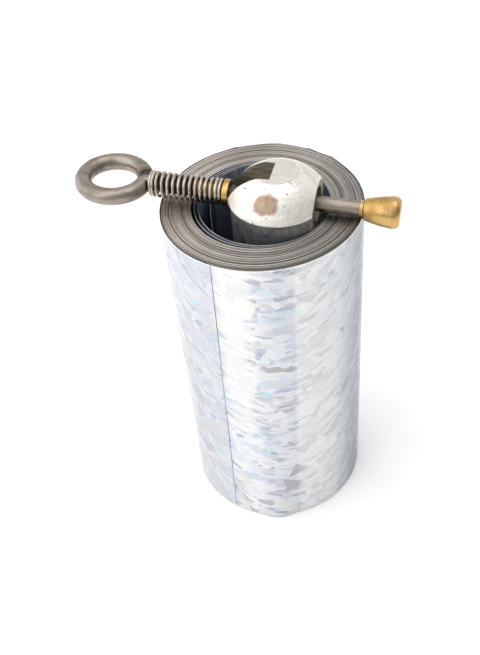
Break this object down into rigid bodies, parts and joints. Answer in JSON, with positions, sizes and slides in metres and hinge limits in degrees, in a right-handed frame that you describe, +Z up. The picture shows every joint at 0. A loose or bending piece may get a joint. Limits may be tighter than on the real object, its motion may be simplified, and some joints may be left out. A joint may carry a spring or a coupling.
{
  "type": "coiled telescoping ribbon stick",
  "caption": "Coiled steel ribbon stick in its closed state, film faced, with a domed lock bar in its hole and a sprung cross pin with finger eye and brass tip over its rim.",
  "frame": {"origin": "on the surface it stands on, under the middle of the whole object's length and width", "axes": "+X along the cross pin towards its brass tip, +Y to the side, +Z up along the coil's axis"},
  "size_m": [0.0893, 0.0563, 0.1207],
  "materials": {
    "ribbon_steel": "fine rolled edges, warm grey",
    "holographic_film": "silvery shattered-glass film with pale colour glints",
    "bar_aluminium": "polished dome, dull sawn side",
    "pin_steel": "nickel-plated wire, satin",
    "spring_steel": "oiled spring wire, brownish",
    "brass": "turned, lightly tarnished"
  },
  "bodies": {
    "coil": {"ribbon_coil": "ribbon_steel", "film_wrap": "holographic_film", "lock_bar": "bar_aluminium", "tail_rivet_lower": "bar_aluminium", "tail_rivet_upper": "bar_aluminium"},
    "spring_seat": {"spring_sleeve": "brass", "pin_spring": "spring_steel"},
    "pin": {"pin_rod": "pin_steel", "pin_tip": "brass"}
  },
  "joints": [
    {"name": "pin_turn", "type": "hinge", "parent": "coil", "child": "spring_seat", "pos_m": [0.01235, -0.0018, 0.11198], "axis": [0.9994, 0, -0.0345], "continuous": true},
    {"name": "pin_press", "type": "slide", "parent": "spring_seat", "child": "pin", "axis": [0.9994, 0, -0.0345], "range_m": [0, 0.004], "stiffness_N_per_m": 1500, "springref_m": -0.004, "deforming": ["pin_spring"]}
  ]
}
